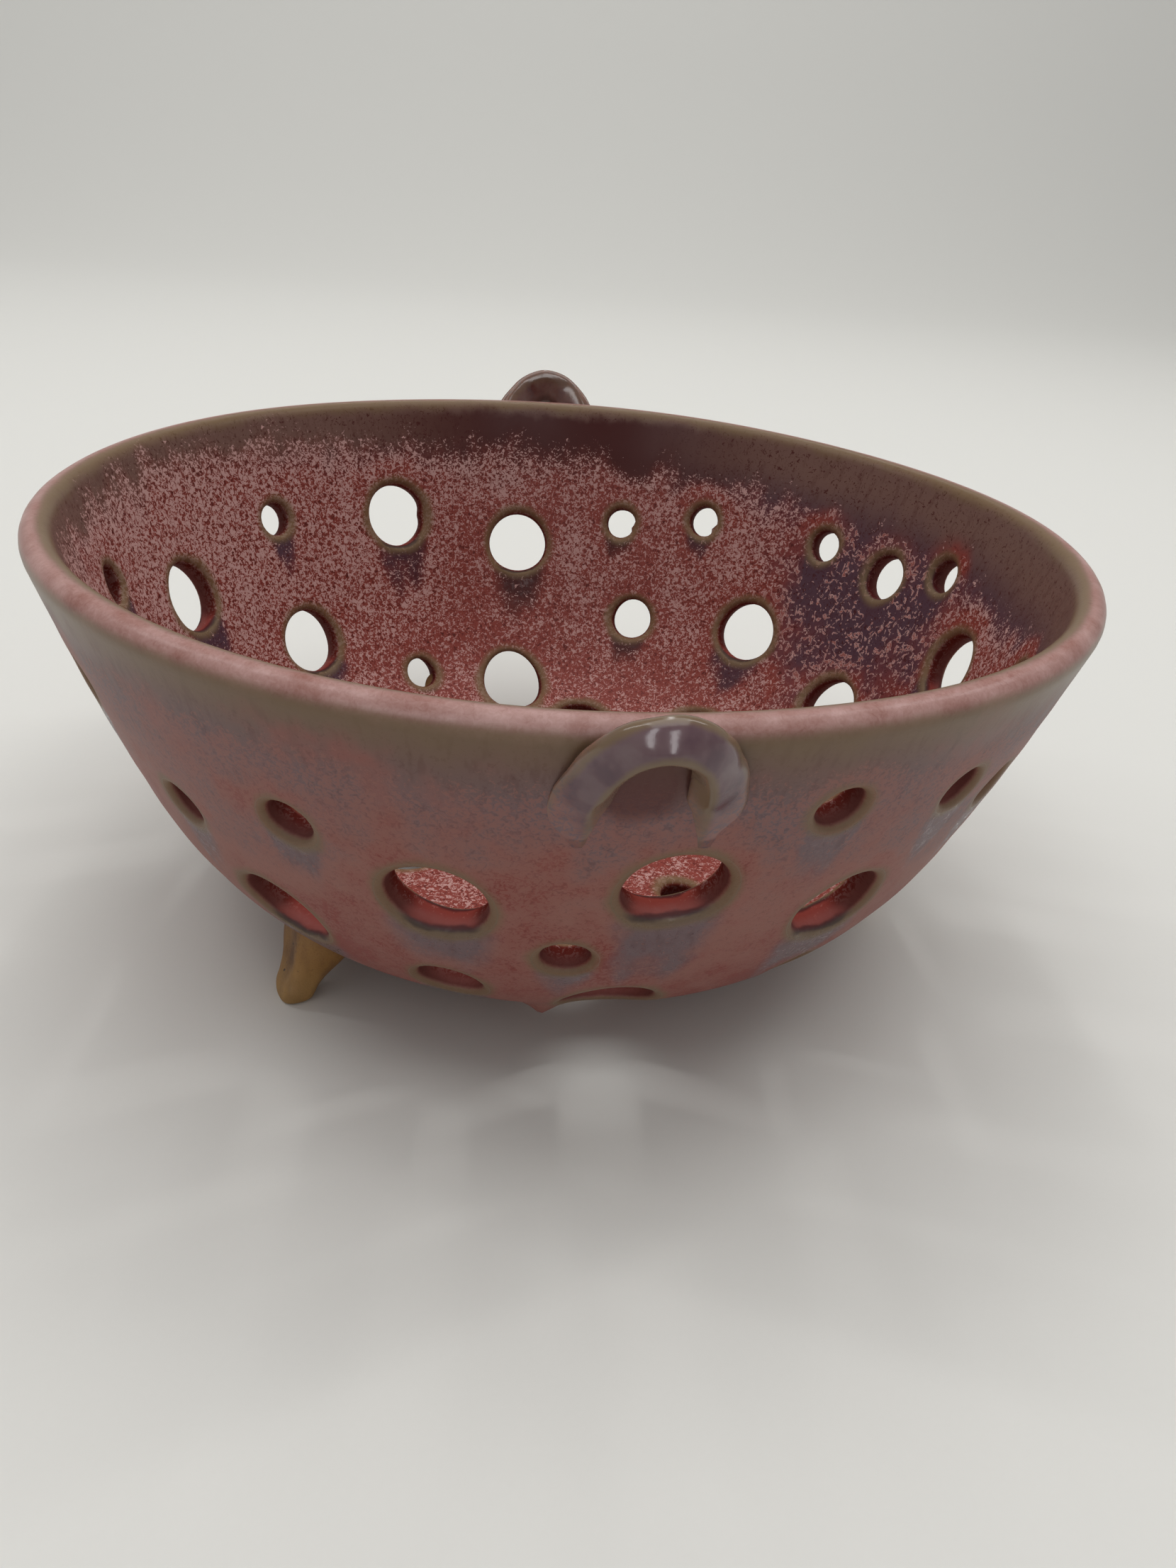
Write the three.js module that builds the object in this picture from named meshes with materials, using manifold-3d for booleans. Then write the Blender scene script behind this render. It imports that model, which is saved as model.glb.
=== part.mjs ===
// Footed berry bowl in glazed stoneware: a pierced thrown shell, two strap lugs and three feet.
// Millimetres, +Z up. The foot tips stand on z = 0 and the lugs lie on the Y axis, front lug at -Y.
import * as THREE from 'three';
import { mergeVertices } from 'three/addons/utils/BufferGeometryUtils.js';
import initManifold from 'manifold-3d';

// Shell: rim sizes, and the middle of the wall as shares of the lip centre's radius and height.
const RIM_RADIUS = 90;
const RIM_HEIGHT = 76;
const WALL = 5;
const WALL_SHARES = [
  [0.343, 0.106],
  [0.514, 0.117],
  [0.688, 0.204],
  [0.805, 0.378],
  [0.873, 0.558],
  [0.93, 0.739],
  [0.973, 0.897],
  [1, 1],
];
const TURNS = 60;
const WALL_STEPS = 12;
const LIP_STEPS = 6;

// Drain holes: two cutters, and one in between. The wall's holes were pushed through with the cutter tipped.
const LARGE = 13.8;
const MEDIUM = 9.4;
const SMALL = 6.9;
const CUTTER_TIP = 20;

// Holes through the wall: azimuth in degrees, height of the centre in percent of the rim's height, diameter.
const WALL_HOLES = [
  [12, 77.6, SMALL],
  [20.8, 33.1, LARGE],
  [23.5, 70.4, MEDIUM],
  [37, 72.4, SMALL],
  [46.1, 42.4, LARGE],
  [60, 70.2, SMALL],
  [70, 38.4, MEDIUM],
  [74.7, 65.8, SMALL],
  [93.4, 57.9, LARGE],
  [95.5, 19.4, LARGE],
  [115.5, 67.1, LARGE],
  [116.6, 23.2, SMALL],
  [138.3, 71, SMALL],
  [138.7, 37.7, LARGE],
  [161.3, 60.5, LARGE],
  [174, 34.2, LARGE],
  [180, 75, SMALL],
  [196, 56.6, LARGE],
  [208, 76.3, SMALL],
  [222, 59.2, SMALL],
  [231, 37.8, LARGE],
  [238.8, 68.8, SMALL],
  [252, 28.2, MEDIUM],
  [252.8, 56.6, LARGE],
  [266, 43.4, SMALL],
  [273, 22.4, LARGE],
  [275.5, 63.7, LARGE],
  [288.9, 80.3, SMALL],
  [296.7, 50.4, LARGE],
  [300, 25.3, SMALL],
  [305.3, 76.3, SMALL],
  [315, 70.3, SMALL],
  [326, 47.4, LARGE],
  [338, 73.7, SMALL],
  [350, 36.8, LARGE],
  [359.5, 60.5, LARGE],
];

// Holes through the floor and its rounded corner: azimuth in degrees, percent of the rim's radius, diameter.
const FLOOR_HOLES = [
  [0, 0, LARGE],
  [25, 35.6, LARGE],
  [46, 57.8, LARGE],
  [77, 51.1, LARGE],
  [97, 31.1, LARGE],
  [150, 34.4, LARGE],
  [200, 34.4, LARGE],
  [270, 38.2, LARGE],
  [311, 37.5, SMALL],
];

// Strap lug: a strap bent over an arch from the wall below the lip, standing off the lip at the crest.
const SLIP_GAP = 0.3;
const LUG_DROP = 19;
const LUG_ROOT_OUT = 1.2;
const LUG_HALF_SPAN = 8.6;
const LUG_STAND_OFF = 2.6;
const LUG_CREST = 1.6;
const LUG_TURN = 1.1;
const LUG_LEAN = 26;
const ARCH_POWER = 0.75;
const SWING_POWER = 0.9;
const STRAP_WIDTH = 5.4;
const STRAP_THICK = 4.2;
const STRAP_FLARE = 0.9;
const LUG_STEPS = 24;
const STRAP_SIDES = 14;

// Foot: shares of its height, splay, depth and width for each section from the flat tip up into the shell.
const FOOT_AZIMUTHS = [-138, -15, 110];
const FOOT_SPREAD = 0.702;
const FOOT_SPLAY = 7.2;
const FOOT_DEPTH = 12.4;
const FOOT_WIDTH = 14.8;
const FOOT_SECTIONS = [
  [0, 0, 0.371, 0.311],
  [0.028, 0, 0.468, 0.392],
  [0.089, 0.028, 0.516, 0.432],
  [0.222, 0.181, 0.565, 0.5],
  [0.389, 0.403, 0.677, 0.635],
  [0.556, 0.583, 0.79, 0.784],
  [0.778, 0.792, 0.903, 0.919],
  [1, 1, 1, 1],
];
const FOOT_SIDES = 24;
const FOOT_SQUARENESS = 2.7;
const FOOT_TURN = -18;
const GROOVE_DEPTH = 0.7;

const GLAZE = { color: 0x8f4f4a, roughness: 0.35, metalness: 0 };
const LUG_GLAZE = { color: 0x6f5058, roughness: 0.35, metalness: 0 };
const BARE_CLAY = { color: 0x8a6234, roughness: 0.8, metalness: 0 };

const { Manifold, Mesh } = await bootBooleans();

async function bootBooleans() {
  const kernel = await initManifold();
  kernel.setup();
  return kernel;
}

// Welds a geometry and drops its empty triangles, ready for a boolean.
function toSolid(geometry) {
  const bare = new THREE.BufferGeometry();
  bare.setAttribute('position', geometry.getAttribute('position').clone());
  bare.setIndex(geometry.index.clone());
  const welded = mergeVertices(bare, 1e-4);
  const index = welded.index.array;
  const faces = [];
  for (let i = 0; i < index.length; i += 3) {
    const [a, b, c] = [index[i], index[i + 1], index[i + 2]];
    if (a !== b && b !== c && c !== a) faces.push(a, b, c);
  }
  const solid = new Manifold(new Mesh({
    numProp: 3,
    vertProperties: new Float32Array(welded.getAttribute('position').array),
    triVerts: new Uint32Array(faces),
  }));
  if (solid.volume() <= 0) throw new Error('a solid is inside out');
  return solid;
}

// A named mesh of a solid, turned about the bowl's axis by an angle in degrees.
function toMesh(name, solid, look, azimuth = 0) {
  const { vertProperties, triVerts, numProp } = solid.getMesh();
  const count = vertProperties.length / numProp;
  const position = new Float32Array(count * 3);
  for (let i = 0; i < count; i += 1) {
    position.set(vertProperties.subarray(i * numProp, i * numProp + 3), i * 3);
  }
  const geometry = new THREE.BufferGeometry();
  geometry.setAttribute('position', new THREE.BufferAttribute(position, 3));
  geometry.setIndex(new THREE.BufferAttribute(new Uint32Array(triVerts), 1));
  geometry.computeVertexNormals();
  const mesh = new THREE.Mesh(geometry, new THREE.MeshStandardMaterial(look));
  mesh.name = name;
  mesh.rotation.z = THREE.MathUtils.degToRad(azimuth);
  return mesh;
}

// The middle of the wall from the floor's edge to the centre of the lip.
const LIP = new THREE.Vector2(RIM_RADIUS - WALL / 2, RIM_HEIGHT - WALL / 2);
const WALL_MID = WALL_SHARES.map(([r, z]) => new THREE.Vector2(r, z).multiply(LIP));
const wallCurve = new THREE.SplineCurve(WALL_MID);

// A point on the middle line with the wall's outward normal.
function wallAt(t) {
  const point = wallCurve.getPoint(t);
  const along = wallCurve.getTangent(t);
  return { point, normal: new THREE.Vector2(along.y, -along.x) };
}

function wallStations() {
  return Array.from({ length: WALL_STEPS + 1 }, (_, i) => wallAt(i / WALL_STEPS));
}

// The place on the wall's middle line at a given height, by halving.
function wallAtHeight(height) {
  let low = 0;
  let high = 1;
  for (let i = 0; i < 40; i += 1) {
    const middle = (low + high) / 2;
    if (wallAt(middle).point.y < height) low = middle;
    else high = middle;
  }
  return wallAt((low + high) / 2);
}

// The place on the middle line at a given radius, floor or corner.
function wallAtRadius(radius) {
  if (radius <= WALL_MID[0].x) {
    return { point: new THREE.Vector2(radius, WALL_MID[0].y), normal: new THREE.Vector2(0, -1) };
  }
  let low = 0;
  let high = 1;
  for (let i = 0; i < 40; i += 1) {
    const middle = (low + high) / 2;
    if (wallAt(middle).point.x < radius) low = middle;
    else high = middle;
  }
  return wallAt((low + high) / 2);
}

function offset({ point, normal }, distance) {
  return point.clone().addScaledVector(normal, distance);
}

// Rounded lip, from the outside of the wall over the top to the inside.
function lipArc(station, radius) {
  const start = Math.atan2(station.normal.y, station.normal.x);
  return Array.from({ length: LIP_STEPS - 1 }, (_, i) => {
    const angle = start + (Math.PI * (i + 1)) / LIP_STEPS;
    return new THREE.Vector2(
      station.point.x + radius * Math.cos(angle),
      station.point.y + radius * Math.sin(angle),
    );
  });
}

function revolve(profile) {
  return new THREE.LatheGeometry(profile, TURNS).rotateX(Math.PI / 2);
}

// Profile that runs from the axis out and up the outside, over the lip and back down the inside.
function shellSolid() {
  const stations = wallStations();
  const lip = stations[stations.length - 1];
  const outside = stations.map((station) => offset(station, WALL / 2));
  const inside = stations.map((station) => offset(station, -WALL / 2)).reverse();
  const profile = [
    new THREE.Vector2(0, WALL_MID[0].y - WALL / 2),
    ...outside,
    ...lipArc(lip, WALL / 2),
    ...inside,
    new THREE.Vector2(0, WALL_MID[0].y + WALL / 2),
  ];
  return toSolid(revolve(profile));
}

// The shell's outside with the slip gap added, filled in, to trim the lugs and feet against.
function trimSolid() {
  const stations = wallStations();
  const lip = stations[stations.length - 1];
  const outside = stations.map((station) => offset(station, WALL / 2 + SLIP_GAP));
  const profile = [
    new THREE.Vector2(0, WALL_MID[0].y - WALL / 2 - SLIP_GAP),
    ...outside,
    ...lipArc(lip, WALL / 2 + SLIP_GAP),
    new THREE.Vector2(0, lip.point.y),
  ];
  return toSolid(revolve(profile));
}

// A round cutter through a point of the wall's middle line, along a direction in the same upright plane.
function holeCutter(point, direction, azimuth, diameter) {
  const sides = diameter > SMALL ? 20 : 14;
  const cutter = new THREE.CylinderGeometry(diameter / 2, diameter / 2, WALL * 2 + diameter, sides);
  const a = THREE.MathUtils.degToRad(azimuth);
  const out = new THREE.Vector3(direction.x * Math.cos(a), direction.x * Math.sin(a), direction.y);
  cutter.applyQuaternion(new THREE.Quaternion().setFromUnitVectors(new THREE.Vector3(0, 1, 0), out));
  cutter.translate(point.x * Math.cos(a), point.x * Math.sin(a), point.y);
  return toSolid(cutter);
}

function wallHole([azimuth, percent, diameter]) {
  const tip = THREE.MathUtils.degToRad(CUTTER_TIP);
  const { point } = wallAtHeight((RIM_HEIGHT * percent) / 100);
  return holeCutter(point, new THREE.Vector2(Math.cos(tip), -Math.sin(tip)), azimuth, diameter);
}

function floorHole([azimuth, percent, diameter]) {
  const { point, normal } = wallAtRadius((RIM_RADIUS * percent) / 100);
  return holeCutter(point, normal, azimuth, diameter);
}

function piercedShell() {
  const cutters = [...WALL_HOLES.map(wallHole), ...FLOOR_HOLES.map(floorHole)];
  return shellSolid().subtract(Manifold.union(cutters));
}

// Skins rings of points that all have the same count, and closes both ends with fans.
function skin(rings) {
  const sides = rings[0].length;
  const points = rings.flat();
  const faces = [];
  for (let i = 0; i + 1 < rings.length; i += 1) {
    for (let j = 0; j < sides; j += 1) {
      const a = i * sides + j;
      const b = i * sides + ((j + 1) % sides);
      faces.push(a, b, a + sides, b, b + sides, a + sides);
    }
  }
  const ends = [[rings[0], 0, false], [rings[rings.length - 1], (rings.length - 1) * sides, true]];
  for (const [ring, first, up] of ends) {
    const hub = points.length;
    points.push(ring.reduce((sum, p) => sum.add(p), new THREE.Vector3()).divideScalar(sides));
    for (let j = 0; j < sides; j += 1) {
      const a = first + j;
      const b = first + ((j + 1) % sides);
      faces.push(...(up ? [a, b, hub] : [b, a, hub]));
    }
  }
  const geometry = new THREE.BufferGeometry().setFromPoints(points);
  geometry.setIndex(faces);
  return toSolid(geometry);
}

// Rounded oblong with half sizes u and v, as points round a section.
function superellipse(angle, u, v, power) {
  const c = Math.cos(angle);
  const s = Math.sin(angle);
  return [
    u * Math.sign(c) * Math.abs(c) ** (2 / power),
    v * Math.sign(s) * Math.abs(s) ** (2 / power),
  ];
}

// Front lug: the strap follows the arch with its face outward, and widens where it meets the wall.
function lugSolid(trim) {
  const root = wallAtHeight(RIM_HEIGHT - LUG_DROP).point;
  const start = root.x + LUG_ROOT_OUT;
  const reach = RIM_RADIUS + LUG_STAND_OFF + STRAP_THICK / 2 - start;
  const rise = LUG_DROP + LUG_CREST;
  const rings = [];
  for (let i = 0; i <= LUG_STEPS; i += 1) {
    const angle = (Math.PI * i) / LUG_STEPS;
    const c = Math.cos(angle);
    const s = Math.sin(angle);
    const centre = new THREE.Vector3(
      -LUG_HALF_SPAN * c,
      -(start + reach * s ** SWING_POWER),
      root.y + rise * s ** ARCH_POWER,
    );
    const slow = Math.max(s, 0.02);
    const climb = rise * c * ARCH_POWER * slow ** (ARCH_POWER - 1);
    const swing = reach * c * SWING_POWER * slow ** (SWING_POWER - 1);
    const along = new THREE.Vector3(LUG_HALF_SPAN * s, -swing, climb).normalize();
    const outward = new THREE.Vector3(0, -1, 0).projectOnPlane(along).normalize();
    outward.applyAxisAngle(along, -THREE.MathUtils.degToRad(LUG_LEAN));
    const across = new THREE.Vector3().crossVectors(outward, along);
    const widen = STRAP_FLARE * (1 - s) ** 2;
    const ring = [];
    for (let j = 0; j < STRAP_SIDES; j += 1) {
      const turn = (2 * Math.PI * (j + 0.5)) / STRAP_SIDES;
      const [u, v] = superellipse(turn, STRAP_WIDTH / 2 + widen, STRAP_THICK / 2 + widen / 2, 2.6);
      ring.push(centre.clone().addScaledVector(across, u).addScaledVector(outward, v));
    }
    rings.push(ring);
  }
  return skin(rings).subtract(trim);
}

// Foot, pointing along +X: tapered sections that splay outward to the tip, thumbed hollow on the outer face.
function footSolid(trim) {
  const turnBy = THREE.MathUtils.degToRad(FOOT_TURN);
  const tipRadius = RIM_RADIUS * FOOT_SPREAD;
  const tall = wallAtRadius(tipRadius).point.y;
  const rings = FOOT_SECTIONS.map(([height, splay, depth, width]) => {
    const radius = tipRadius - FOOT_SPLAY * splay;
    const ring = [];
    for (let j = 0; j < FOOT_SIDES; j += 1) {
      const turn = (2 * Math.PI * j) / FOOT_SIDES;
      const [u, v] = superellipse(
        turn,
        (FOOT_DEPTH / 2) * depth,
        (FOOT_WIDTH / 2) * width,
        FOOT_SQUARENESS,
      );
      const facing = Math.max(0, Math.cos(turn)) ** 6;
      const hollow = GROOVE_DEPTH * facing * Math.sin(Math.PI * height);
      const x = (u - hollow) * Math.cos(turnBy) - v * Math.sin(turnBy);
      const y = (u - hollow) * Math.sin(turnBy) + v * Math.cos(turnBy);
      ring.push(new THREE.Vector3(radius + x, y, tall * height));
    }
    return ring;
  });
  return skin(rings).subtract(trim);
}

const trim = trimSolid();
const lug = lugSolid(trim);
const foot = footSolid(trim);

const bowl = new THREE.Group();
bowl.name = 'footed_berry_bowl';
bowl.add(
  toMesh('bowl', piercedShell(), GLAZE),
  toMesh('handle_front', lug, LUG_GLAZE, LUG_TURN),
  toMesh('handle_back', lug, LUG_GLAZE, 180 - LUG_TURN),
  toMesh('foot_left', foot, BARE_CLAY, FOOT_AZIMUTHS[0]),
  toMesh('foot_right', foot, BARE_CLAY, FOOT_AZIMUTHS[1]),
  toMesh('foot_back', foot, BARE_CLAY, FOOT_AZIMUTHS[2]),
);

export default bowl;
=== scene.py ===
"""Footed berry bowl in rose and plum glaze: pierced shell, two strap lugs and three bare clay feet."""

import math

import bpy
import numpy as np
from bpy.props import FloatProperty, FloatVectorProperty, IntProperty, PointerProperty
from mathutils import Matrix, Vector
from mathutils.geometry import delaunay_2d_cdt


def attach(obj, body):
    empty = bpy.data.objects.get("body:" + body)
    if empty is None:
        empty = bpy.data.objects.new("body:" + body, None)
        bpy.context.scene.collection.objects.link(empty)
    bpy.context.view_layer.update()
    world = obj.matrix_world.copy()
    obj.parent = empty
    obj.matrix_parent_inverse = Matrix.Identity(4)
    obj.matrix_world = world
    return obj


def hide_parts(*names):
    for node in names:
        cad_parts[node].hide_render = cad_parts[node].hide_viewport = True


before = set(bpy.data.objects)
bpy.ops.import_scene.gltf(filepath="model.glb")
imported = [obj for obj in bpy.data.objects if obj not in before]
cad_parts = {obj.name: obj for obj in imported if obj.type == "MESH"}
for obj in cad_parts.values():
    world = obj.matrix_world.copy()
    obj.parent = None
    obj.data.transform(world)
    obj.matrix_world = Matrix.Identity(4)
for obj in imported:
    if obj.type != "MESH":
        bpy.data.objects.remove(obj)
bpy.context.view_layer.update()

bl_info = {
    "name": "Footed Berry Bowl",
    "version": (1, 0, 0),
    "blender": (4, 5, 0),
    "location": "View3D > Sidebar > Berry Bowl",
    "description": "Builds a glazed, pierced berry bowl with strap lugs and clay feet",
    "category": "Add Mesh",
}

MM = 0.001

# The middle of the wall as shares of the lip centre's radius and height.
WALL_SHARES = (
    (0.343, 0.106),
    (0.514, 0.117),
    (0.688, 0.204),
    (0.805, 0.378),
    (0.873, 0.558),
    (0.93, 0.739),
    (0.973, 0.897),
    (1, 1),
)

# Bores that the three cutters left, in millimetres.
LARGE = 13.8
MEDIUM = 9.4
SMALL = 6.9

# Holes through the wall: azimuth in degrees, height in percent of the rim's height, bore.
WALL_HOLES = (
    (12, 77.6, SMALL),
    (20.8, 33.1, LARGE),
    (23.5, 70.4, MEDIUM),
    (37, 72.4, SMALL),
    (46.1, 42.4, LARGE),
    (60, 70.2, SMALL),
    (70, 38.4, MEDIUM),
    (74.7, 65.8, SMALL),
    (93.4, 57.9, LARGE),
    (95.5, 19.4, LARGE),
    (115.5, 67.1, LARGE),
    (116.6, 23.2, SMALL),
    (138.3, 71, SMALL),
    (138.7, 37.7, LARGE),
    (161.3, 60.5, LARGE),
    (174, 34.2, LARGE),
    (180, 75, SMALL),
    (196, 56.6, LARGE),
    (208, 76.3, SMALL),
    (222, 59.2, SMALL),
    (231, 37.8, LARGE),
    (238.8, 68.8, SMALL),
    (252, 28.2, MEDIUM),
    (252.8, 56.6, LARGE),
    (266, 43.4, SMALL),
    (273, 22.4, LARGE),
    (275.5, 63.7, LARGE),
    (288.9, 80.3, SMALL),
    (296.7, 50.4, LARGE),
    (300, 25.3, SMALL),
    (305.3, 76.3, SMALL),
    (315, 70.3, SMALL),
    (326, 47.4, LARGE),
    (338, 73.7, SMALL),
    (350, 36.8, LARGE),
    (359.5, 60.5, LARGE),
)

# Holes through the floor and its corner: azimuth in degrees, percent of the rim's radius, bore.
FLOOR_HOLES = (
    (0, 0, LARGE),
    (25, 35.6, LARGE),
    (46, 57.8, LARGE),
    (77, 51.1, LARGE),
    (97, 31.1, LARGE),
    (150, 34.4, LARGE),
    (200, 34.4, LARGE),
    (270, 38.2, LARGE),
    (311, 37.5, SMALL),
)

# How much glaze collects in the smaller bores, as a share of what the large ones have; less leaves more of
# the dark bore colour, which partly paints their shade.
SMALL_HOLE_RUN = 0.3

# Nubs of clay left in a bore: the hole's azimuth, place round the bore in degrees, how far it stands in.
NUBS = {115.5: (182, 0.8), 74.7: (192, 0.9), 60: (205, 1.3)}
NUB_SPREAD = 0.26

# A drip of glaze under the front, in degrees and millimetres.
DRIP_AZIMUTH = -96
DRIP_RADIUS = 58.0
DRIP_HEIGHT = 11.0
DRIP_WIDTH = 2.3
DRIP_LENGTH = 2.6

# Azimuths of the feet in degrees.
FEET = (("left", -138), ("right", -15), ("back", 110))

# Shares of a foot's splay, depth and width, by share of its height from the tip up.
FOOT_SPLAY = ((0, 0), (0.09, 0.02), (0.22, 0.17), (0.39, 0.39), (0.56, 0.57), (0.78, 0.78), (1, 1))
FOOT_DEPTH = ((0, 0.37), (0.028, 0.47), (0.09, 0.52), (0.22, 0.56), (0.56, 0.78), (1, 1))
FOOT_WIDTH = ((0, 0.31), (0.028, 0.39), (0.09, 0.44), (0.22, 0.5), (0.56, 0.78), (1, 1))

# Middle of the bare plum patch inside, and of the painted shade on the wall under a lug, in metres.
PLUM_PATCH = (0.068, 0.030, 0.051)
LUG_SHADE_CENTRE = (0.0, 0.088, 0.0675)

# The photograph's viewpoint: place in metres, angles in degrees, lens and sensor in millimetres.
VIEW_PLACE = (-0.0235, -0.2062, 0.1325)
VIEW_HEADING = 8.37
VIEW_PITCH = 28.58
VIEW_ROLL = 4.93
VIEW_LENS = 27.05
VIEW_SENSOR = 36

# The studio floor in metres: how far it comes forward, where it turns up, how round, how high and wide.
FLOOR_FRONT = -3.0
FLOOR_TURN = 1.0
FLOOR_ROUND = 1.6
FLOOR_TOP = 3.6
FLOOR_HALF = 4.0


def tone(red, green, blue):
    """A linear colour from the 0 to 255 values of a colour picker."""
    def linear(value):
        share = value / 255
        return share / 12.92 if share <= 0.04045 else ((share + 0.055) / 1.055) ** 2.4

    return (linear(red), linear(green), linear(blue))


def setting(label, note, default, **limits):
    """A plain number property."""
    return FloatProperty(name=label, description=note, default=default, **limits)


def length(label, note, default):
    """A length property whose default is given in millimetres."""
    return setting(label, note, default * MM, unit="LENGTH", precision=4)


def colour(label, note, default):
    """A colour property."""
    return FloatVectorProperty(
        name=label, description=note, default=default, subtype="COLOR", size=3, min=0, max=1
    )


def angle(label, note, default):
    """An angle property whose default is given in degrees."""
    return setting(label, note, math.radians(default), unit="ROTATION")


def watts(label, note, default):
    """A lamp's power in watts."""
    return setting(label, note, default, unit="POWER")


class BowlShell(bpy.types.PropertyGroup):
    """Sizes of the thrown shell."""

    rim_radius: length("Rim Radius", "Radius over the outside of the lip", 90)
    rim_height: length("Rim Height", "Height of the lip above the table", 76)
    wall: length("Wall", "Thickness of the wall", 5)
    hole_round: length("Hole Round", "Radius of the rolled edge of a hole", 1.6)
    mesh_step: length("Mesh Step", "Spacing of the shell's mesh", 1.25)
    cutter_tip: angle("Cutter Tip", "How far the hole cutter was tipped below level", 20)
    waviness: length("Waviness", "How far the thrown wall strays from round", 0.35)
    seed: IntProperty(name="Seed", description="Seed of the hand-made unevenness", default=11, min=0)


class BowlLugs(bpy.types.PropertyGroup):
    """Sizes of the strap lugs."""

    drop: length("Drop", "How far below the lip the strap starts", 19)
    root_out: length("Root Out", "How far the strap's middle starts outside the wall's", 0.3)
    half_span: length("Half Span", "Half the distance between the strap's ends", 8.6)
    stand_off: length("Stand Off", "Gap between the lip and the strap", 2.6)
    crest: length("Crest", "Height of the strap's middle over the lip", 0.5)
    back_lift: length("Back Lift", "How much higher the back lug's crest is", 1.5)
    back_spread: setting("Back Spread", "How much longer the back lug is", 1.1)
    back_width: setting("Back Width", "How much wider the back strap is", 1.37)
    width: length("Width", "Width of the strap", 5.4)
    thickness: length("Thickness", "Thickness of the strap", 4.2)
    fillet: length("Fillet", "Height of the smeared joint round each end", 3.2)
    flare: setting("Flare", "How much the strap spreads at the joint", 0.35, min=0)
    lean: angle("Lean", "How far the strap's face tips up", 26)
    turn: angle("Turn", "How far both lugs sit off the bowl's cross line", 1.1)
    uneven: length("Uneven", "How far the hand-pulled strap strays", 0.9)
    roughness: setting("Roughness", "How dull the lug glaze is", 0.17, subtype="FACTOR", min=0, max=1)


class BowlFeet(bpy.types.PropertyGroup):
    """Sizes of the clay feet."""

    spread: setting("Spread", "Radius of the foot tips as a share of the rim's", 0.702)
    splay: length("Splay", "How far the tip stands out from the root", 7.2)
    depth: length("Depth", "Depth of the foot at its root", 12.4)
    width: length("Width", "Width of the foot at its root", 14.8)
    twist: angle("Twist", "How far the foot is turned on its own axis", -18)
    hollow: length("Hollow", "Depth of the thumbed hollow in the outer face", 1.1)
    uneven: length("Uneven", "How far the hand-formed foot strays", 0.8)


class BowlColours(bpy.types.PropertyGroup):
    """Colours of the glazes, the clay and the stage."""

    crystal: colour("Crystal", "Pale pink crystals", tone(191, 153, 147))
    coral: colour("Coral", "Coral where the crystals run together", tone(132, 60, 52))
    # Ember is also the painted shade at the back of the inner band under the lip.
    ember_and_shade: colour("Ember", "Dark red between the crystals", tone(70, 24, 21))
    plum: colour("Plum", "Bare plum glaze", tone(82, 58, 68))
    umber: colour("Umber", "Brown glaze below the lip", tone(114, 86, 77))
    mauve: colour("Mauve", "Grey mauve runs outside", tone(112, 90, 93))
    rose: colour("Rose", "Dusty rose outside", tone(146, 97, 87))
    khaki: colour("Khaki", "Thin glaze on edges", tone(116, 95, 68))
    # Bore is partly the glaze's dark red and partly painted shade in the holes; it also paints the shade
    # under the lugs and on the straps' inner faces.
    bore: colour("Bore", "Glaze inside the holes", tone(78, 27, 22))
    pool: colour("Pool", "Dark edge of the glaze pooled in a hole", tone(46, 24, 28))
    lug: colour("Lug", "Purple glaze of the lugs", tone(102, 75, 81))
    clay: colour("Clay", "Bare clay of the feet", tone(152, 108, 50))
    # Dark clay is the clay's own toasting, and also painted shade in the foot's hollow.
    clay_toast_and_shade: colour("Dark Clay", "Toasted clay in hollows", tone(88, 52, 20))
    clay_pale: colour("Pale Clay", "Rubbed clay at the tip", tone(178, 142, 86))
    pit: colour("Pit", "Burnt pits in the clay", tone(58, 36, 20))
    floor: colour("Floor", "Studio floor and sweep", tone(222, 221, 216))
    fibre: colour("Fibre", "Darker fibres of the floor", tone(190, 188, 182))


class BowlStage(bpy.types.PropertyGroup):
    """Studio light levels."""

    sky: setting("Sky", "Even light from all round", 0.36, min=0)
    backdrop: setting("Backdrop", "How pale the air behind looks", 0.56, min=0)
    overhead: watts("Overhead", "Power of the overhead lamp", 10)
    back: watts("Back", "Power of each lamp behind", 1.5)
    sweep: watts("Sweep", "Power of the lamp on the sweep", 13)
    window: watts("Window", "Power of each window in front", 3)


class BerryBowl(bpy.types.PropertyGroup):
    """All settings of the bowl."""

    shell: PointerProperty(type=BowlShell)
    lugs: PointerProperty(type=BowlLugs)
    feet: PointerProperty(type=BowlFeet)
    colours: PointerProperty(type=BowlColours)
    stage: PointerProperty(type=BowlStage)


# Arithmetic inside node trees.


def operation(name):
    """A method of a term that runs one operation of a Math node."""
    return lambda term, *others: term.maths(name, *others)


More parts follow.
